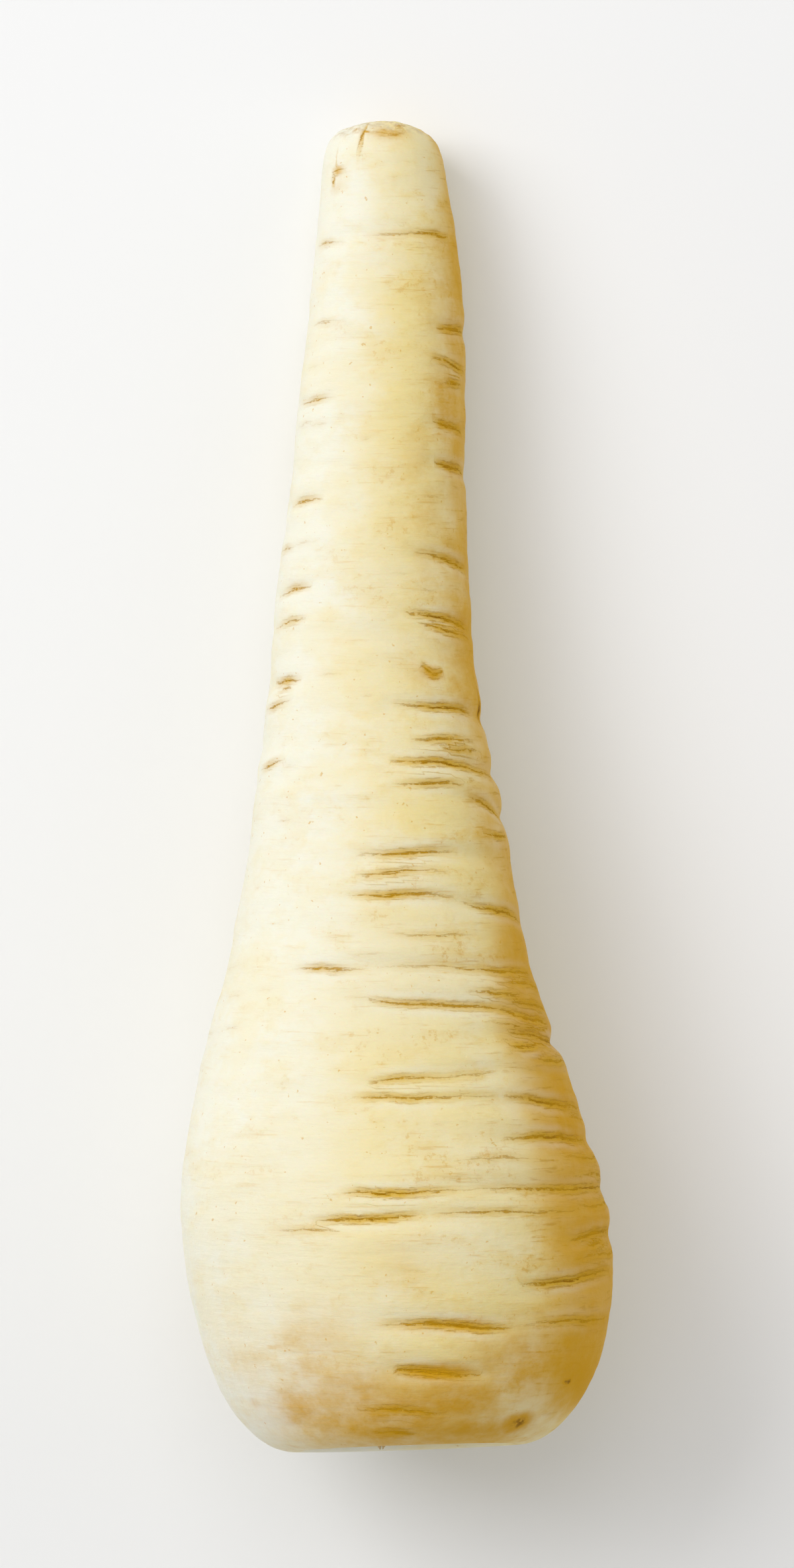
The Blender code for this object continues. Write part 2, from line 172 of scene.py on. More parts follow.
# Stained patches, some of them painted shade (the bands round the crown's rim and the broad ones on
# the right flank): mm from the rim, angle, half length, half width in degrees, strength.
# A strength well over 1 turns the middle of a patch corky and brown.
STAIN_AND_SHADE_PATCHES = (
    (91.5, 56, 1.3, 10, 0.85), (88.4, 11, 2.4, 6, 1.6), (2.2, 45, 1.4, 8, 1.7),
    (13.4, 22, 3.0, 22, 0.9), (6.9, 31, 0.6, 2.4, 1.8), (151.8, 140, 1.2, 10, 0.35),
    (153.9, 137, 0.7, 7, 0.5), (57.6, 58.5, 0.3, 1.1, 0.9), (111.0, 50, 6.0, 24, 0.35),
    (144.8, 40, 1.6, 24, 0.5), (21.0, 20, 9.0, 26, 0.6), (40.0, 12, 9.0, 24, 0.5),
    (46.0, 165, 6.0, 20, 0.14), (5.5, 150, 1.0, 4, 0.60), (11.9, 131, 0.35, 3.4, 0.62),
    (9.3, 121, 0.35, 3.0, 0.58), (6.4, 111, 0.4, 3.6, 0.70), (8.8, 119, 3.5, 14, 0.48),
    (2.5, 94, 6.0, 60, 0.80), (4.8, 72, 3.6, 22, 0.90), (8.2, 80, 1.4, 16, 0.90),
    (5.6, 104, 4.5, 34, 0.72), (4.2, 128, 4.0, 18, 0.76), (12.5, 116, 4.5, 18, 0.40),
    (9.0, 142, 7.0, 26, 0.28), (13.6, 78, 1.2, 20, 0.55), (70.0, 14, 8.0, 22, 0.55),
    (0.4, 75, 2.4, 62, 0.75), (20.0, 88, 5.0, 12, 0.25), (10.0, 70, 4.0, 12, 0.30),
    (158.9, 108, 0.35, 4, 1.2), (158.4, 84, 1.4, 26, 0.55), (126.0, 34, 9.0, 22, 0.70),
    (9.0, 26, 8.0, 32, 0.92), (24.0, 22, 9.0, 24, 0.95), (38.0, 19, 9.0, 22, 0.90),
    (54.0, 22, 12.0, 22, 0.70), (8.5, 48, 6.0, 24, 0.84), (1.6, 66, 2.4, 46, 0.85),
    (118.0, 26, 14.0, 26, 0.58), (74.0, 30, 8.0, 20, 0.55),
    (137.0, 26, 18.0, 30, 0.68), (96.0, 24, 22.0, 30, 0.66), (91.5, 60, 3.0, 16, 0.40),
    (60.0, 10, 8.0, 26, 0.40), (118.0, 62, 5.0, 18, 0.30), (105.0, 55, 6.0, 14, 0.35),
    (30.0, 300, 7.0, 26, 0.5), (75.0, 250, 9.0, 30, 0.4), (16.0, 225, 3.0, 16, 0.6),
)
# Paler patches of painted highlight, where the skin faces the light, in the same way.
HIGHLIGHT_PATCHES = (
    (54.0, 96, 9.0, 34, 0.55), (33.0, 66, 6.0, 18, 0.28), (23.0, 78, 3.0, 20, 0.45),
    (20.0, 112, 9.0, 20, 0.25), (36.0, 122, 12.0, 26, 0.40), (64.0, 70, 4.0, 14, 0.25),
    (100.0, 84, 14.0, 14, 0.20), (46.0, 220, 20.0, 40, 0.25),
)
# How many rings there are between two points of the outline.
RINGS = ((0, RIM_POINT, 44), (RIM_POINT, SHOULDER_POINT, 26), (SHOULDER_POINT, NECK_POINT, 250),
         (NECK_POINT, TIP_POINT, 294), (TIP_POINT, len(OUTLINE) - 1, 25))
SEGMENTS = 156
# Fine relief, mm: on the bulge, and what the neck adds to it.
ROLLS = (0.07, 0.09)
WRINKLES = (0.022, 0.02)
PORES = 0.012
TORN_FROM = 157.8                   # mm; the torn face of the trimmed tip
TORN_TO = 159.8
HOLLOW_FROM = 0.6                   # mm; the ochre that deepens down into the crown's hollow
HOLLOW_TO = 4.2
CRACK_SHADE_RIGHT = 0.4                  # painted shade: how much darker cracks are drawn on the shaded right flank
UNDERSIDE_PALER = 0.22


def smooth_curve(knots, values, at):
    """Value at each place on a smooth curve through the knots: cubic pieces that share slopes."""
    slopes = np.gradient(values, knots)
    i = np.clip(np.searchsorted(knots, at) - 1, 0, len(knots) - 2)
    width = knots[i + 1] - knots[i]
    t = (at - knots[i]) / width
    ends = values[i] * (1 + 2 * t) * (1 - t) ** 2 + values[i + 1] * t ** 2 * (3 - 2 * t)
    return ends + width * (slopes[i] * t * (1 - t) ** 2 - slopes[i + 1] * t ** 2 * (1 - t))


def through(table, at):
    """Smooth curve through a table of (distance, value) pairs in millimetres."""
    knots, values = np.array(table, dtype=float).T * MM
    return smooth_curve(knots, values, at)


def smooth_step(low, high, value):
    """0 below low, 1 above high, and a soft S between them."""
    t = np.clip((value - low) / (high - low), 0, 1)
    return t * t * (3 - 2 * t)


def lattice_noise(x, y, z, seed):
    """Smooth noise from -1 to 1: random values on a cubic lattice, eased between the corners."""
    size = 32
    table = np.random.default_rng(seed).uniform(-1, 1, (size, size, size))
    cells = [np.floor(c).astype(int) for c in (x, y, z)]
    parts = [c - f for c, f in zip((x, y, z), cells)]
    eased = [p * p * (3 - 2 * p) for p in parts]
    total = 0
    for corner in np.ndindex(2, 2, 2):
        weight = 1
        for e, side in zip(eased, corner):
            weight = weight * (e if side else 1 - e)
        i, j, k = ((cell + side) % size for cell, side in zip(cells, corner))
        total = total + weight * table[i, j, k]
    return total


def root_frame(along):
    """Middle line, forward direction and the two directions of the cross section."""
    slope = (through(HEIGHT, along + 2 * MM) - through(HEIGHT, along - 2 * MM)) / (4 * MM)
    lean = CROWN_LEAN * (1 - smooth_step(0, LEAN_FADE, along))
    forward = np.stack([lean, np.ones_like(along), slope], axis=-1)
    forward /= np.linalg.norm(forward, axis=-1, keepdims=True)
    right = np.cross(forward, (0, 0, 1))
    right /= np.linalg.norm(right, axis=-1, keepdims=True)
    up = np.cross(right, forward)
    middle = np.stack(
        [through(SIDEWAYS, along) - MIDDLE_X, along - MIDDLE_Y, through(HEIGHT, along)], axis=-1)
    return middle, forward, right, up


def hidden_folds():
    """Root scars on the far side, placed in two rows by a seeded rule."""
    rng = np.random.default_rng(HIDDEN_SEED)
    rows = []
    for row_angle in HIDDEN_ROWS:
        place = rng.uniform(*HIDDEN_FIRST)
        while place < HIDDEN_LAST:
            half = rng.uniform(*HIDDEN_HALF_SPAN)
            centre = row_angle + rng.uniform(-HIDDEN_SWAY, HIDDEN_SWAY)
            slant = rng.uniform(-HIDDEN_SLANT, HIDDEN_SLANT)
            depth = rng.uniform(*HIDDEN_DEPTH)
            rows.append((place, place + slant, centre + half, centre - half, depth, HIDDEN_WIDTH))
            place += rng.uniform(*HIDDEN_STEP)
    return rows


def line_across(along, angle, start, end, left, right):
    """How far each point is past a line round the root, and its share of the line's length."""
    turn = (angle - (left + right) / 2 + 180) % 360 - 180
    u = np.clip(0.5 - turn / (left - right), 0, 1)
    return along - (start + (end - start) * u) * MM, u


def fold_relief(along, angle):
    """Bell-shaped dents with wider, lower bells for the swollen lips, fading at both ends."""
    relief = np.zeros(np.broadcast(along, angle).shape)
    for start, end, left, right, depth, half_width in (*FOLDS, *hidden_folds()):
        past, u = line_across(along, angle, start, end, left, right)
        offset = past / (half_width * MM)
        lip = LIP * np.exp(-(offset / LIP_WIDTH) ** 2)
        relief += depth * MM * np.sin(np.pi * u) ** 0.7 * (lip - np.exp(-offset ** 2))
    return relief


def all_cracks(rng):
    """The cracks in view, those in the hidden folds, and short hairlines strewn over the skin."""
    cracks = list(CRACKS)
    for start, end, left, right, depth, _ in hidden_folds():
        dark = rng.uniform(0.4, 0.85)
        cracks.append((start, end, left - 8, right + 8, depth * 0.8, dark, rng.uniform(0.2, 0.8)))
    for _ in range(HAIRLINES):
        start = rng.uniform(*HAIRLINE_PLACE)
        centre = rng.uniform(0, 360)
        half = rng.uniform(*HAIRLINE_HALF_SPAN) * (TAIL_SPAN if start > TAIL_START else 1)
        slant = rng.uniform(-HAIRLINE_SLANT, HAIRLINE_SLANT)
        dark = rng.uniform(*HAIRLINE_DARK) ** 1.2
        cracks.append((start, start + slant, centre + half, centre - half,
                       rng.uniform(*HAIRLINE_DEPTH), dark, 0.5))
    return cracks


def crack_layers(along, angle):
    """Relief of the cracks, a painted highlight on their lips, and the distance to the nearest one.

    A crack wavers round the root as the sum of two sines; it is deepest where it gapes, and
    fades towards its ends. Two layers let the material draw it finer than the mesh: the distance
    across the strongest crack near by, in mm, and its strength, which falls off beside it.
    """
    shape = np.broadcast(along, angle).shape
    relief = np.zeros(shape)
    lip_highlight_layer = np.zeros(shape)
    mark = np.zeros(shape)
    line = np.full(shape, FARTHEST)
    rng = np.random.default_rng(CRACK_SEED)
    order = along[:, 0]
    reach = CRACK_REACH * MM
    for start, end, left, right, depth, dark, gape in all_cracks(rng):
        low = np.searchsorted(order, min(start, end) * MM - reach)
        high = np.searchsorted(order, max(start, end) * MM + reach)
        if high <= low:
            continue
        band = slice(low, high)
        past, u = line_across(along[band], angle, start, end, left, right)
        phase = rng.uniform(0, 2 * np.pi, 2)
        arc = math.radians(left - right) * np.interp(start, *np.array(OUTLINE[RIM_POINT:]).T)
        waver = 0.16 * np.sin(8 * u + phase[0]) + 0.06 * np.sin(25 * u + phase[1])
        across = past / MM - waver * min(1, arc / 18)
        across = across / math.hypot(1, (end - start) / arc)
        gaping = np.exp(-((u - gape) / GAPE_LENGTH) ** 2)
        strength = np.sin(np.pi * u) ** 0.35 * (0.5 + 0.5 * gaping)
        cut = np.exp(-(across / CRACK_HALF_WIDTH) ** 2)
        lip = np.exp(-((np.abs(across) - CRACK_LIP_PLACE) / CRACK_LIP_WIDTH) ** 2)
        relief[band] += CRACK_RELIEF * depth * MM * strength * (CRACK_LIP_HEIGHT * lip - cut)
        lip_highlight_layer[band] = np.maximum(lip_highlight_layer[band], min(1, 2 * depth) * strength * lip)
        near = dark * strength * np.exp(-(across / MARK_HALF_WIDTH) ** 2)
        stronger = near > mark[band]
        mark[band] = np.where(stronger, near, mark[band])
        line[band] = np.where(stronger, across, line[band])
    return relief, lip_highlight_layer, mark, np.clip(line, -FARTHEST, FARTHEST)


def patch_layer(along, angle, patches):
    """How stained or shaded, or how highlighted, the skin is painted: soft ovals."""
    stain_and_shade = np.zeros(np.broadcast(along, angle).shape)
    for place, centre, half_length, half_width, strength in patches:
        turn = (angle - centre + 180) % 360 - 180
        away = ((along / MM - place) / half_length) ** 2 + (turn / half_width) ** 2
        stain_and_shade = np.maximum(stain_and_shade, strength * np.exp(-away))
    return stain_and_shade


def stations():
    """Places along the outline at which the skin has its rings, ends left out."""
    points = np.array(OUTLINE) * MM
    chord = np.concatenate([[0], np.cumsum(np.linalg.norm(np.diff(points, axis=0), axis=1))])
    at = np.concatenate([np.linspace(chord[a], chord[b], n, endpoint=False) for a, b, n in RINGS])
    at = at[1:]
    return smooth_curve(chord, points[:, 0], at), smooth_curve(chord, points[:, 1], at)


def taproot_surface():
    """Rings of points of the skin, with the layers that colour it.

    A point is the middle line plus the outline's radius, swollen by soft lobes, folds, cracks
    and fine wrinkles, along a spoke of the cross section. What would sink below the surface
    that the root rests on is flattened on it.
    """
    along, radius = stations()
    turn = np.arange(SEGMENTS) * 2 * np.pi / SEGMENTS
    angle = np.degrees(turn)[None, :]
    rim_ring = RINGS[0][2] - 1
    outside = (np.arange(len(along)) > rim_ring) * smooth_step(14 * MM, 18 * MM, radius)
    tail = smooth_step(30 * MM, 45 * MM, along)
    fade = (np.maximum(outside, tail) * smooth_step(1 * MM, 6 * MM, radius))[:, None]
    wave = along[:, None] / MM
    lobes = 0.011 * np.sin(2 * turn) * np.sin(wave / 12 + 1)
    lobes = lobes + 0.008 * np.sin(4 * turn) * np.sin(wave / 7)
    reach = radius[:, None] * (1 + lobes * fade)
    reach = reach + fold_relief(along[:, None], angle) * fade

    skin_rows = slice(rim_ring, len(along))
    relief, lip_highlight, mark, line = np.zeros((4, *reach.shape))
    relief[skin_rows], lip_highlight[skin_rows], mark[skin_rows], line[skin_rows] = crack_layers(
        along[skin_rows, None], angle)
    reach = reach + relief * fade
    on_skin = (np.arange(len(along)) >= rim_ring) * smooth_step(2 * MM, 7 * MM, radius)
    stain_and_shade = patch_layer(along[:, None], angle, STAIN_AND_SHADE_PATCHES) * on_skin[:, None]
    painted_highlight = patch_layer(along[:, None], angle, HIGHLIGHT_PATCHES) * on_skin[:, None]

    x, z = radius[:, None] / MM * np.cos(turn), radius[:, None] / MM * np.sin(turn)
    rolls = lattice_noise(x / 14, wave / 2.4 + 0 * x, z / 14, 1)
    wrinkles = lattice_noise(x / 7, wave / 0.85 + 0 * x, z / 7, 2)
    pores = lattice_noise(x / 1.6, wave / 0.7 + 0 * x, z / 1.6, 3)
    neck = smooth_step(30, 60, wave) * (1 - 0.5 * smooth_step(90, 130, wave))
    fine = (ROLLS[0] + ROLLS[1] * neck) * rolls
    fine = fine + (WRINKLES[0] + WRINKLES[1] * neck) * wrinkles + PORES * pores
    reach = reach + fine * MM * np.maximum(fade, 0.5 * smooth_step(3, 8, radius[:, None] / MM))

    end = smooth_step(TORN_FROM, TORN_TO, wave)
    hollow = smooth_step(HOLLOW_FROM, HOLLOW_TO, wave) * (np.arange(len(along)) < rim_ring)[:, None]
    torn = lattice_noise(x / 1.5, wave / 1.2 + 0 * x, z / 1.5, 5)
    side = np.maximum(0.25 + 0.75 * smooth_step(14 * MM, 24 * MM, radius), tail)[:, None]
    middle, forward, right, up = root_frame(along)
    spoke = np.cos(turn)[:, None] * right[:, None] + np.sin(turn)[:, None] * up[:, None]
    rings = middle[:, None] + reach[..., None] * spoke
    rings = rings + (end * (0.35 * torn - 0.25) * MM)[..., None] * forward[:, None]
    rings[..., 2] = np.maximum(rings[..., 2], 0)
    # Painted shade: cracks are drawn darker on the shaded right flank; this is multiplied into the
    # crack mark.
    crack_shade = 1 + CRACK_SHADE_RIGHT * smooth_step(0.3, 0.9, np.cos(turn))
    # Painted light and shade, partly real tan: the right flank is painted tan and ochre for shade
    # and warm reflected light, the left paler as if lit; less of it near the crown and on the
    # underside.
    side_tan_and_shade = 0.5 + 0.5 * np.cos(turn) * side - 0.1 * smooth_step(45, 75, wave)
    side_tan_and_shade = side_tan_and_shade - UNDERSIDE_PALER * smooth_step(0.0, 0.7, -np.sin(turn))
    layers = {"mark": mark * fade * crack_shade, "line": line, "lip_highlight": lip_highlight * fade, "stain_and_shade": stain_and_shade,
              "painted_highlight": painted_highlight, "torn": end * (0.6 + 0.4 * torn),
              "hollow": hollow + 0 * reach, "side_tan_and_shade": side_tan_and_shade}
    return rings, layers


def mesh_from_rings(name, rings, closing, layers):
    """Object with a closed skin over rings of points, without a loop over them.

    Neighbouring rings are joined by quads. The two closing points shut the ends as fans of
    triangles; with no closing points the last ring meets the first. Layers become attributes.
    """
    count, segments = rings.shape[:2]
    index = np.arange(count * segments).reshape(count, segments)
    here = index if closing is None else index[:-1]
    there = np.roll(index, -1, axis=0) if closing is None else index[1:]
    quads = np.stack(
        [here, there, np.roll(there, -1, axis=1), np.roll(here, -1, axis=1)], axis=-1)
    faces = quads.reshape(-1, 4).tolist()
    points = rings.reshape(-1, 3)
    if closing is not None:
        first = np.full(segments, len(points))
        points = np.concatenate([points, closing])
        faces += np.stack([first, index[0], np.roll(index[0], -1)], axis=-1).tolist()
        faces += np.stack([index[-1], first + 1, np.roll(index[-1], -1)], axis=-1).tolist()
    mesh = bpy.data.meshes.new(name)
    mesh.from_pydata(points.tolist(), [], faces)
    for layer, values in layers.items():
        values = values.reshape(-1)
        values = np.concatenate([values, [values[0], values[-1]] if closing is not None else []])
        mesh.attributes.new(layer, "FLOAT", "POINT").data.foreach_set("value", values)
    mesh.shade_smooth()
    piece = bpy.data.objects.new(name, mesh)
    bpy.context.scene.collection.objects.link(piece)
    return piece


class Shade:
    """An output in a material's node tree; arithmetic on it adds Math nodes."""

    def __init__(self, tree, socket):
        self.tree = tree
        self.socket = socket

    def node(self, kind, settings=None, inputs=None, output=0):
        """Adds a node: its settings first, then the values or links of its sockets."""
        made = self.tree.nodes.new(kind)
        for setting, value in (settings or {}).items():
            setattr(made, setting, value)
        for socket, value in (inputs or {}).items():
            if isinstance(value, Shade):
                self.tree.links.new(value.socket, made.inputs[socket])
            else:
                made.inputs[socket].default_value = value
        return Shade(self.tree, made.outputs[output])

    def math(self, operation, *values):
        """Math node on these values."""
        settings = {"operation": operation}
        return self.node("ShaderNodeMath", settings, dict(enumerate(values)))

    def __add__(self, other):
        return self.math("ADD", self, other)

    def __mul__(self, other):
        return self.math("MULTIPLY", self, other)

    def __sub__(self, other):
        return self.math("SUBTRACT", self, other)

    def __rsub__(self, other):
        return self.math("SUBTRACT", other, self)

    __radd__ = __add__
    __rmul__ = __mul__

    def ramp(self, low, high):
        """0 at low, 1 at high, a soft S between them."""
        inputs = {"Value": self, "From Min": low, "From Max": high}
        return self.node("ShaderNodeMapRange", {"interpolation_type": "SMOOTHSTEP"}, inputs)

    def blend(self, first, second):
        """Colour that goes from the first to the second as this value goes from 0 to 1."""
        settings = {"data_type": "RGBA"}
        return self.node("ShaderNodeMix", settings, {0: self, 6: first, 7: second}, output=2)

    def stretched(self, scale):
        """Coordinates multiplied by a vector, so that a pattern on them is drawn out."""
        return self.node("ShaderNodeVectorMath", {"operation": "MULTIPLY"}, {0: self, 1: scale})

    def noise(self, scale, detail, roughness):
        """Noise texture on these coordinates."""
        inputs = {"Vector": self, "Scale": scale, "Detail": detail, "Roughness": roughness}
        return self.node("ShaderNodeTexNoise", None, inputs)

    def attribute(self, name):
        """A layer of the mesh."""
        return self.node("ShaderNodeAttribute", {"attribute_name": name}, output="Fac")


def new_material(name, roughness, **constants):
    """Principled material with constant sockets; returns it, its shader and its coordinates."""
    material = bpy.data.materials.new(name)
    material.use_nodes = True
    shader = material.node_tree.nodes["Principled BSDF"]
    shader.inputs["Roughness"].default_value = roughness
    for socket, value in constants.items():
        shader.inputs[socket.replace("_", " ")].default_value = value
    start = Shade(material.node_tree, None)
    return material, shader, start.node("ShaderNodeTexCoord", output="Object")


def link(shader, socket, value):
    """Feeds a shader's socket."""
    value.tree.links.new(value.socket, shader.inputs[socket])


def skin_material():
    """Waxy cream skin: pale and deeper cream in clouds, painted light and shade across the root
    with some real tan (paler on the lit left, tan and ochre on the shaded right flank), fibrous
    golden cracks with brown cores between lips with a painted highlight, corky patches, fine
    scratches and specks."""
    material, shader, place = new_material(
        "cream_skin", 0.5, Subsurface_Weight=0.15, Subsurface_Scale=0.002,
        Subsurface_Radius=(1.0, 0.55, 0.2), Specular_IOR_Level=0.06)
    clouds = place.noise(75.0, 5.0, 0.62)
    smudges = place.stretched((120.0, 210.0, 120.0)).noise(1.0, 5.0, 0.66)
    mottle = place.noise(420.0, 5.0, 0.65)
    streaks = place.stretched((110.0, 560.0, 110.0)).noise(1.0, 5.0, 0.68)
    threads = place.stretched((190.0, 2300.0, 190.0)).noise(1.0, 3.0, 0.6)
    fibres = place.stretched((380.0, 4200.0, 380.0)).noise(1.0, 3.0, 0.7)
    specks = place.noise(1400.0, 2.0, 0.5)
    break_up = place.noise(1000.0, 4.0, 0.7)
    side_tan_and_shade = place.attribute("side_tan_and_shade")

    pale = (0.86, 0.84, 0.70, 1)
    cream = (0.86, 0.72, 0.335, 1)
    straw = (0.82, 0.66, 0.27, 1)
    tan = (0.80, 0.53, 0.085, 1)
    ochre = (0.65, 0.335, 0.006, 1)
    amber = (0.67, 0.40, 0.02, 1)
    golden = (0.49, 0.25, 0.002, 1)
    brown = (0.24, 0.10, 0.001, 1)
    pale_cork = (0.62, 0.49, 0.30, 1)

    cloudy = clouds.ramp(0.36, 0.64)
    # Painted light and shade, partly real tan: pale on the lit left side, cream in clouds, tan and
    # ochre deepening on the shaded right flank; the straw, tan, ochre and golden marks below grow
    # with it.
    colour = (side_tan_and_shade.ramp(0.05, 0.60) * 0.85 + cloudy * 0.40 - 0.15).blend(pale, cream)
    colour = (smudges.ramp(0.46, 0.64) * (0.14 + 0.45 * side_tan_and_shade)).blend(colour, straw)
    colour = (smudges.ramp(0.50, 0.68) * (side_tan_and_shade * 0.5 - 0.12)).blend(colour, tan)
    colour = (side_tan_and_shade.ramp(0.76, 0.95) * (0.62 + 0.38 * cloudy)).blend(colour, tan)
    colour = (side_tan_and_shade.ramp(0.80, 0.95) * (0.76 + 0.24 * cloudy)).blend(colour, ochre)
    colour = (streaks.ramp(0.54, 0.70) * (0.04 + 0.28 * side_tan_and_shade)).blend(colour, tan)
    colour = (mottle.ramp(0.52, 0.68) * (0.02 + 0.20 * side_tan_and_shade)).blend(colour, tan)
    # Painted highlight: pale patches where the skin faces the light.
    colour = (place.attribute("painted_highlight") * (0.5 + 0.5 * cloudy)).blend(colour, pale)
    scratches = threads.ramp(0.58, 0.72) * smudges.ramp(0.40, 0.56)
    colour = (scratches * (0.10 + 0.40 * side_tan_and_shade)).blend(colour, ochre)
    hairlines = threads.ramp(0.55, 0.68) * mottle.ramp(0.40, 0.58)
    colour = (hairlines * side_tan_and_shade.ramp(0.66, 0.94) * 0.6).blend(colour, golden)
    freckles = break_up.ramp(0.54, 0.64) * smudges.ramp(0.50, 0.62)
    colour = (freckles * (0.05 + 0.50 * side_tan_and_shade)).blend(colour, ochre)
    # Painted highlight on the swollen lips beside the cracks.
    colour = (place.attribute("lip_highlight") * (0.1 + 0.6 * mottle)).blend(colour, pale)

    mark = place.attribute("mark")
    ragged = place.attribute("line") + 1.0 * (fibres - 0.5) + 0.6 * (break_up - 0.5)
    away = ragged.math("ABSOLUTE", ragged)
    beside = away - 0.55
    beside = beside.math("ABSOLUTE", beside)
    halo = mark.ramp(0.02, 0.80) * away.ramp(1.1, 0.1)
    colour = (halo * (0.45 + 0.8 * mottle)).blend(colour, amber)
    strand = beside.ramp(0.16, 0.04) * fibres.ramp(0.46, 0.58) * mark.ramp(0.10, 0.75)
    colour = (strand * 0.6).blend(colour, golden)
    core = away.math("DIVIDE", away, 0.06 + 0.14 * mark).ramp(1.2, 0.3)
    core = core * mark.ramp(0.04, 0.50) * break_up.ramp(0.30, 0.52)
    colour = (core * 0.9).blend(colour, golden)
    depth = away.math("DIVIDE", away, 0.03 + 0.12 * mark).ramp(1.1, 0.3) * mark.ramp(0.50, 1.0)
    colour = (depth * fibres.ramp(0.38, 0.54)).blend(colour, brown)

    # Real stains, and painted shade where the patches at the rim and on the right flank stand in
    # for it.
    stain_and_shade = place.attribute("stain_and_shade") * (0.62 + 0.24 * mottle.ramp(0.30, 0.70) + 0.3 * cloudy)
    colour = (stain_and_shade.ramp(0.0, 1.0) * 0.95).blend(colour, ochre)
    colour = (stain_and_shade * smudges.ramp(0.48, 0.66) * 0.35).blend(colour, ochre)
    scab = stain_and_shade.ramp(0.95, 1.30) * break_up.ramp(0.34, 0.54)
    colour = (scab * 0.9).blend(colour, brown)
    hollow = place.attribute("hollow")
    colour = ((hollow * (0.35 + 0.8 * mottle)).ramp(0.30, 1.0) * 0.6).blend(colour, ochre)
    colour = (hollow * smudges.ramp(0.50, 0.62) * 0.5).blend(colour, golden)
    torn = place.attribute("torn")
    colour = (torn * break_up.ramp(0.40, 0.66)).blend(colour, pale_cork)
    colour = (torn * mottle.ramp(0.52, 0.66)).blend(colour, golden)
    colour = (specks.ramp(0.70, 0.76) * 0.5).blend(colour, ochre)
    link(shader, "Base Color", colour)

    dull = core * 0.25 + stain_and_shade.ramp(0.2, 0.8) * 0.15 + torn * 0.2
    link(shader, "Roughness", 0.44 + 0.10 * mottle + dull)
    height = 0.9 * clouds + 0.32 * streaks + 0.10 * threads + 0.25 * mottle + 0.08 * break_up
    height = height - 0.15 * core - 0.12 * strand - 0.15 * scab
    bump = place.node("ShaderNodeBump", None,
                      {"Height": height, "Strength": 0.8, "Distance": 0.0005}, output="Normal")
    link(shader, "Normal", bump)
    return material


taproot_rings, taproot_layers = taproot_surface()
taproot_ends, _, _, _ = root_frame(np.array([OUTLINE[0][0], OUTLINE[-1][0]]) * MM)
taproot = mesh_from_rings("parsnip_skin", taproot_rings, taproot_ends, taproot_layers)
taproot.data.materials.append(skin_material())
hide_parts("taproot")
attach(taproot, "root")

# Leaf stalk stubs
# What is left of the leaf stalks: two rings of torn, dried sheaths on a thin collar, seated in
# the crown's hollow. Brown to straw, fibrous and ragged, with crumbs of the same tissue.
CROWN_DEPTH = OUTLINE[0][0] * MM
GAP = 0.3 * MM
COLLAR_INNER = 4.3 * MM
COLLAR_OUTER = 9.1 * MM
COLLAR_THICKNESS = 0.7 * MM
# Rings of sheaths: how many, distance from the middle and mean height in mm.
OUTER_SHEATHS = (7, 8.0, 3.3)
INNER_SHEATHS = (5, 5.6, 2.6)
SHEATH_HALF_THICKNESS = 0.75 * MM
STUB_SEED = 11
STUB_SEGMENTS = 620
STUB_STEPS = 70
UNDER_STEPS = 4
# Crumbs: how many, nearest and farthest from the middle, lowest and highest, all in mm.
CRUMB_RINGS = ((300, 8.3, 9.9, 0.1, 0.8), (110, 3.9, 4.9, 0.9, 1.5), (110, 5.0, 8.2, 0.8, 1.7))
CRUMB_SIZE = (0.12, 0.40)
CRUMB_SEED = 6


def crown_points(radius, turn, rise):
    """Points in the crown: distance from its middle, angle round it, and rise out of the hollow."""
    middle, forward, right, up = root_frame(np.array([0.0]))
    spoke = np.cos(turn)[..., None] * right[0] + np.sin(turn)[..., None] * up[0]
    outwards = rise - CROWN_DEPTH + GAP
    return middle[0] + radius[..., None] * spoke - outwards[..., None] * forward[0]


def sheath_height(radius, turn, sheaths, rng):
    """Height over the collar of a ring of sheaths, each torn off at its own level."""
    count, ring_radius, mean_height = sheaths
    height = np.zeros(np.broadcast(radius, turn).shape)
    tilt = rng.uniform(0, 2 * np.pi)
    for i in range(count):
        centre = tilt + 2 * np.pi * i / count + rng.uniform(-0.12, 0.12)
        top = mean_height * MM * rng.uniform(0.55, 1.08)
        place = ring_radius * MM + rng.uniform(-0.35, 0.35) * MM
        frayed = rng.uniform(0, 2 * np.pi)
        away = (turn - centre + np.pi) % (2 * np.pi) - np.pi
        bend = place - 0.9 * MM * (away * count / np.pi) ** 2
        across = np.exp(-((radius - bend) / SHEATH_HALF_THICKNESS) ** 4)
        round_it = np.exp(-(away * count / (0.9 * np.pi)) ** 6)
        torn = 1 + 0.13 * np.sin(19 * turn + frayed) + 0.09 * np.sin(31 * turn - frayed)
        height = np.maximum(height, top * across * round_it * torn)
    return height


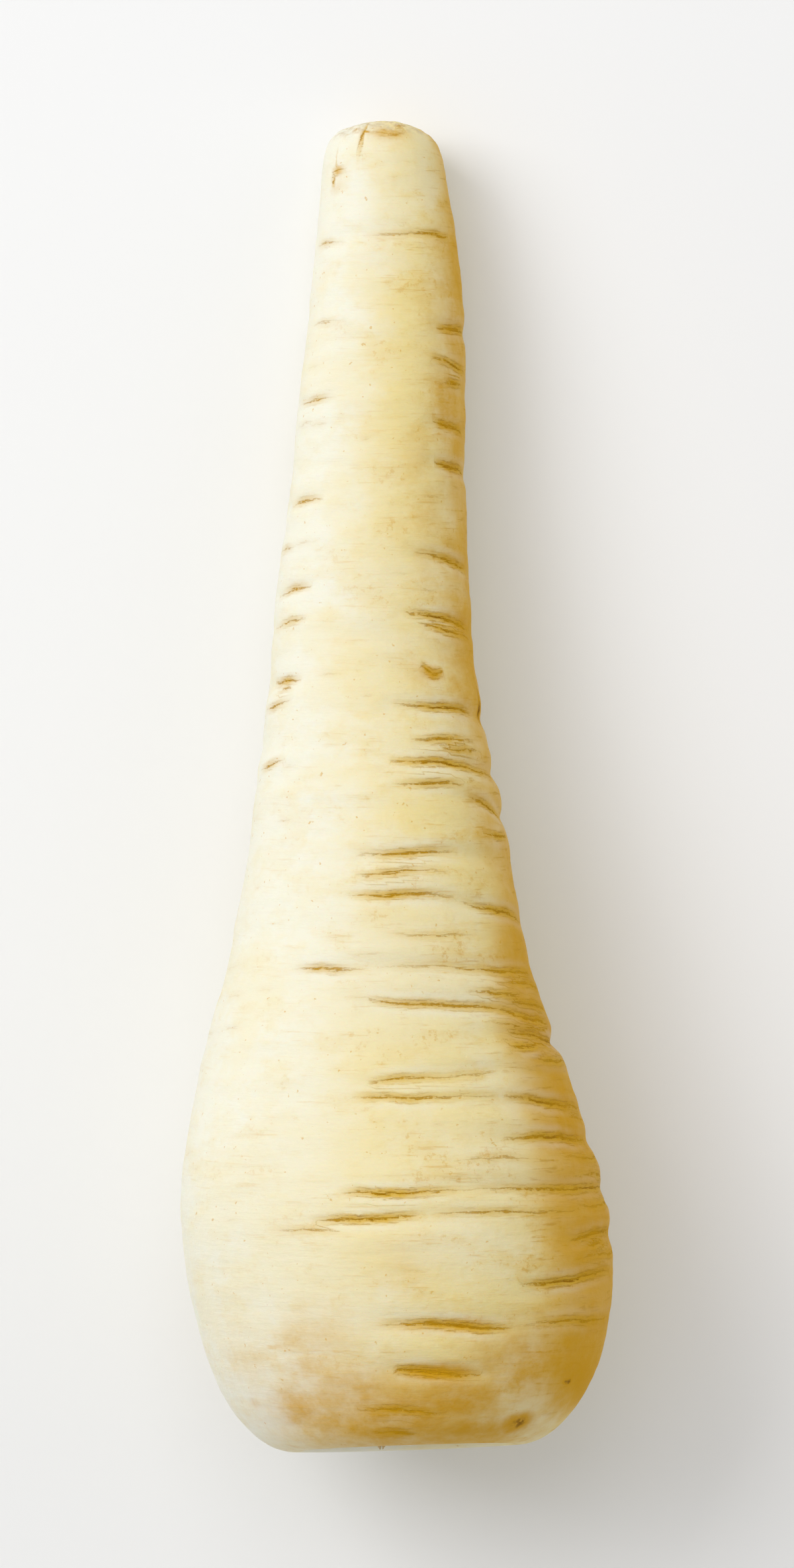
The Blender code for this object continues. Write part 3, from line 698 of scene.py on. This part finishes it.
def stub_surface():
    """Rings round the collar's section: outwards over the sheaths, then back along the underside.

    The sheaths' tops are frayed by noise that is drawn out from the middle, so that thin fibres
    stand between narrow gaps.
    """
    turn = np.arange(STUB_SEGMENTS) * 2 * np.pi / STUB_SEGMENTS
    top_radius = np.linspace(COLLAR_INNER, COLLAR_OUTER, STUB_STEPS)[:, None] + 0 * turn
    rng = np.random.default_rng(STUB_SEED)
    outer = sheath_height(top_radius, turn[None, :], OUTER_SHEATHS, rng)
    inner = sheath_height(top_radius, turn[None, :], INNER_SHEATHS, rng)
    sheaths = np.maximum(outer, inner)
    across = top_radius / MM
    x = across * np.cos(turn)
    y = across * np.sin(turn)
    fibre = lattice_noise(30 * np.cos(turn), 30 * np.sin(turn), across / 1.6, 21)
    crumb = lattice_noise(x / 0.42, y / 0.42, sheaths / MM / 0.6, 22)
    clump = lattice_noise(x / 1.5, y / 1.5, 0 * across, 23)
    fray = 1 - 0.42 * smooth_step(-0.2, 0.6, fibre) - 0.22 * smooth_step(-0.1, 0.7, clump)
    rise = COLLAR_THICKNESS + sheaths * fray
    rise = rise + (0.25 * fibre + 0.3 * crumb + 0.45 * np.maximum(clump, 0)) * MM
    rise = np.maximum(rise, 0.3 * MM)
    under = np.linspace(COLLAR_OUTER, COLLAR_INNER, UNDER_STEPS)[:, None] + 0 * turn
    ragged = lattice_noise(7 * np.cos(turn), 7 * np.sin(turn), 0 * turn, 24) + 0.6 * fibre[-1]
    outer_part = smooth_step(0.5, 1.0, (top_radius - COLLAR_INNER) / (COLLAR_OUTER - COLLAR_INNER))
    top_radius = top_radius - 0.30 * MM * (1 + ragged) * outer_part
    top_radius = top_radius + MM * (0.10 + 0.22 * ragged) * (1 - outer_part)
    radius = np.concatenate([top_radius, under])
    level = np.concatenate([rise, 0 * under])
    spread = 1 + 0.12 * smooth_step(1 * MM, 5 * MM, level)
    points = crown_points(radius * spread, turn[None, :] + 0 * radius, level)
    layers = {"fibre": np.concatenate([fibre, 0 * under]), "rise": level / (6 * MM)}
    return points, layers


def dry_material():
    """Dry stalk: fawn and straw fibres, dark gaps, and ochre where the tissue is fresher."""
    material, shader, place = new_material("dry_stalk", 0.85)
    mottle = place.noise(600.0, 4.0, 0.7)
    crumbs = place.noise(2000.0, 3.0, 0.6)
    dark = (0.17, 0.085, 0.022, 1)
    straw = (0.76, 0.57, 0.28, 1)
    fawn = (0.52, 0.37, 0.19, 1)
    ochre = (0.56, 0.28, 0.04, 1)
    colour = mottle.ramp(0.34, 0.56).blend(dark, fawn)
    tops = place.attribute("rise").ramp(0.10, 0.60) * mottle.ramp(0.42, 0.62)
    colour = tops.blend(colour, straw)
    colour = (place.attribute("fibre").ramp(0.2, 0.9) * 0.5).blend(colour, dark)
    colour = (crumbs.ramp(0.55, 0.68) * 0.55).blend(colour, straw)
    colour = (crumbs.ramp(0.45, 0.34) * 0.5).blend(colour, ochre)
    link(shader, "Base Color", colour)
    bump = place.node("ShaderNodeBump", None,
                      {"Height": mottle + crumbs, "Strength": 0.8, "Distance": 0.0002},
                      output="Normal")
    link(shader, "Normal", bump)
    return material


def crumb_mesh(name):
    """Crumbs of dry tissue on the collar's two edges: dented balls of many sizes, each closed."""
    rng = np.random.default_rng(CRUMB_SEED)
    ball = bmesh.new()
    bmesh.ops.create_icosphere(ball, subdivisions=3, radius=1)
    unit = np.array([v.co for v in ball.verts])
    corners = np.array([[v.index for v in f.verts] for f in ball.faces])
    ball.free()
    places = []
    for count, least, most, low, high in CRUMB_RINGS:
        reach = rng.uniform(least, most, count)
        turn = rng.uniform(0, 2 * np.pi, count)
        rise = rng.uniform(low, high, count)
        places.append(np.stack([reach * np.cos(turn), reach * np.sin(turn), rise], axis=-1))
    centres = np.concatenate(places)[:, None]
    size = rng.uniform(*CRUMB_SIZE, (len(centres), 1, 3))
    own = unit[None] * 1.6 + rng.uniform(0, 30, (len(centres), 1, 3))
    dents = 1 + 0.45 * lattice_noise(own[..., 0], own[..., 1], own[..., 2], 25)
    points = centres + unit[None] * size * dents[..., None]
    radius = np.hypot(points[..., 0], points[..., 1]) * MM
    turn = np.arctan2(points[..., 1], points[..., 0])
    placed = crown_points(radius, turn, points[..., 2] * MM).reshape(-1, 3)
    faces = (corners[None] + np.arange(len(centres))[:, None, None] * len(unit)).reshape(-1, 3)
    mesh = bpy.data.meshes.new(name)
    mesh.from_pydata(placed.tolist(), [], faces.tolist())
    height = (points[..., 2] / 4).reshape(-1)
    mesh.attributes.new("rise", "FLOAT", "POINT").data.foreach_set("value", height)
    mesh.shade_smooth()
    piece = bpy.data.objects.new(name, mesh)
    bpy.context.scene.collection.objects.link(piece)
    return piece


stub_rings, stub_layers = stub_surface()
stubs = mesh_from_rings("frayed_leaf_stalks", stub_rings, None, stub_layers)
crumbs = crumb_mesh("dry_crumbs")
dry_look = dry_material()
for piece in (stubs, crumbs):
    piece.data.materials.append(dry_look)
    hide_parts("leaf_stalk_stubs")
    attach(piece, "root")

# Crown buds
# The young leaf bases in the middle of the crown: three pale rounded buds pressed together,
# cream with tan edges.
# Buds: angle round the crown, then distance from its middle, half width and height in mm.
BUDS = ((75, 1.6, 1.9, 3.7), (205, 1.9, 1.7, 2.9), (320, 2.0, 1.6, 2.4))
BUDS_RADIUS = 3.95 * MM
BUDS_BASE = 0.6 * MM
BUD_SEGMENTS = 260
BUD_STEPS = 90


def bud_surface():
    """Rings from the middle of the top, over the outer wall, to the underside.

    The top is the highest of three bells, finely ribbed along each bud.
    """
    turn = np.arange(BUD_SEGMENTS) * 2 * np.pi / BUD_SEGMENTS
    top_radius = BUDS_RADIUS * np.linspace(0.02, 1.0, BUD_STEPS)[:, None] + 0 * turn
    x = top_radius * np.cos(turn)
    y = top_radius * np.sin(turn)
    rise = np.zeros_like(top_radius)
    for angle, distance, half_width, height in BUDS:
        bud_x = distance * MM * math.cos(math.radians(angle))
        bud_y = distance * MM * math.sin(math.radians(angle))
        away = np.hypot(x - bud_x, y - bud_y) / (half_width * MM)
        rise = np.maximum(rise, height * MM * np.exp(-away ** 2.6))
    ribs = lattice_noise(x / MM / 0.5, y / MM / 0.5, rise / MM / 1.5, 31)
    crumb = lattice_noise(x / MM / 0.32, y / MM / 0.32, 0 * x, 32)
    rise = rise + 0.12 * ribs * MM * smooth_step(0.2, 1.0, rise / MM)
    rise = rise + 0.35 * np.maximum(crumb, -0.3) * MM * (1 - smooth_step(0.2, 1.2, rise / MM))
    rise = BUDS_BASE + rise * (1 - smooth_step(0.9, 1.0, top_radius / BUDS_RADIUS))
    ragged = lattice_noise(6 * np.cos(turn), 6 * np.sin(turn), 0 * turn, 33)
    top_radius = top_radius * (1 + 0.03 * ragged)
    under_radius = BUDS_RADIUS * np.array([1.0, 0.6, 0.2])[:, None] + 0 * turn
    radius = np.concatenate([top_radius, under_radius])
    level = np.concatenate([rise, 0 * under_radius])
    points = crown_points(radius, turn[None, :] + 0 * radius, level)
    return points, {"rise": level / (4 * MM)}


def bud_material():
    """Pale bud: cream at the top, tan and brown down in the creases."""
    material, shader, place = new_material(
        "pale_bud", 0.5, Subsurface_Weight=0.2, Subsurface_Scale=0.002,
        Subsurface_Radius=(1.0, 0.6, 0.3))
    mottle = place.noise(800.0, 4.0, 0.65)
    crumbs = place.noise(2000.0, 3.0, 0.6)
    rise = place.attribute("rise")
    cream = (0.84, 0.76, 0.54, 1)
    tan = (0.56, 0.36, 0.13, 1)
    brown = (0.13, 0.07, 0.03, 1)
    straw = (0.55, 0.42, 0.25, 1)
    colour = crumbs.ramp(0.45, 0.62).blend(brown, straw)
    colour = rise.ramp(0.22, 0.50).blend(colour, tan)
    colour = (rise.ramp(0.30, 0.66) * mottle.ramp(0.30, 0.50)).blend(colour, cream)
    colour = (mottle.ramp(0.56, 0.68) * 0.5).blend(colour, tan)
    link(shader, "Base Color", colour)
    return material


bud_rings, bud_layers = bud_surface()
bud_ends = np.stack([bud_rings[0].mean(axis=0), bud_rings[-1].mean(axis=0)])
buds = mesh_from_rings("pale_buds", bud_rings, bud_ends, bud_layers)
buds.data.materials.append(bud_material())
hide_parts("crown_buds")
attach(buds, "root")

# Floor
# A plain pale floor under the root.
FLOOR_HALF = 3.0                    # m
floor_mesh = bpy.data.meshes.new("pale_floor")
floor_mesh.from_pydata(
    [(-FLOOR_HALF, -FLOOR_HALF, 0), (FLOOR_HALF, -FLOOR_HALF, 0),
     (FLOOR_HALF, FLOOR_HALF, 0), (-FLOOR_HALF, FLOOR_HALF, 0)], [], [(0, 1, 2, 3)])
floor = bpy.data.objects.new("pale_floor", floor_mesh)
bpy.context.scene.collection.objects.link(floor)
floor_material, floor_shader, _ = new_material("pale_floor", 0.9)
floor_shader.inputs["Base Color"].default_value = (0.93, 0.93, 0.925, 1)
floor.data.materials.append(floor_material)

# Studio light
# A large soft light from the upper left, weaker ones overhead and from the right, a pale room.


def soft_light(name, place, target, size, power):
    """Square area light at a place, facing a target."""
    lamp = bpy.data.lights.new(name, "AREA")
    lamp.size = size
    lamp.energy = power
    lamp_object = bpy.data.objects.new(name, lamp)
    lamp_object.location = place
    direction = np.subtract(target, place)
    yaw = math.atan2(direction[0], -direction[1])
    pitch = math.acos(-direction[2] / np.linalg.norm(direction))
    lamp_object.rotation_euler = (pitch, 0, yaw + math.pi)
    bpy.context.scene.collection.objects.link(lamp_object)


soft_light("key_light", (-0.76, 0.42, 0.84), (0, 0, 0.02), 0.7, 7.1)
soft_light("top_light", (-0.2, 0.6, 1.3), (0, 0, 0), 1.0, 3.7)
soft_light("fill_light", (0.85, 0.35, 0.55), (0, 0, 0.02), 0.8, 1.2)
world = bpy.data.worlds.new("pale_room")
world.use_nodes = True
world.node_tree.nodes["Background"].inputs["Color"].default_value = (1, 1, 1, 1)
world.node_tree.nodes["Background"].inputs["Strength"].default_value = 0.46
bpy.context.scene.world = world
bpy.context.scene.view_settings.view_transform = "Standard"

# Camera
# It looks straight down, with the tip towards the top of the picture.
CAMERA_HEIGHT = 1.0                 # m
SHARE_OF_HEIGHT = 0.86              # how much of the picture's height the root fills
SENSOR = 36.0                       # mm
camera_data = bpy.data.cameras.new("camera")
camera_data.sensor_fit = "VERTICAL"
camera_data.sensor_height = SENSOR
middle_height = (cad_low[2] + cad_high[2]) / 2
seen = (cad_high[1] - cad_low[1]) / SHARE_OF_HEIGHT
camera_data.lens = SENSOR * (CAMERA_HEIGHT - middle_height) / seen
camera = bpy.data.objects.new("camera", camera_data)
camera.location = ((cad_low[0] + cad_high[0]) / 2, (cad_low[1] + cad_high[1]) / 2, CAMERA_HEIGHT)
bpy.context.scene.collection.objects.link(camera)
bpy.context.scene.camera = camera
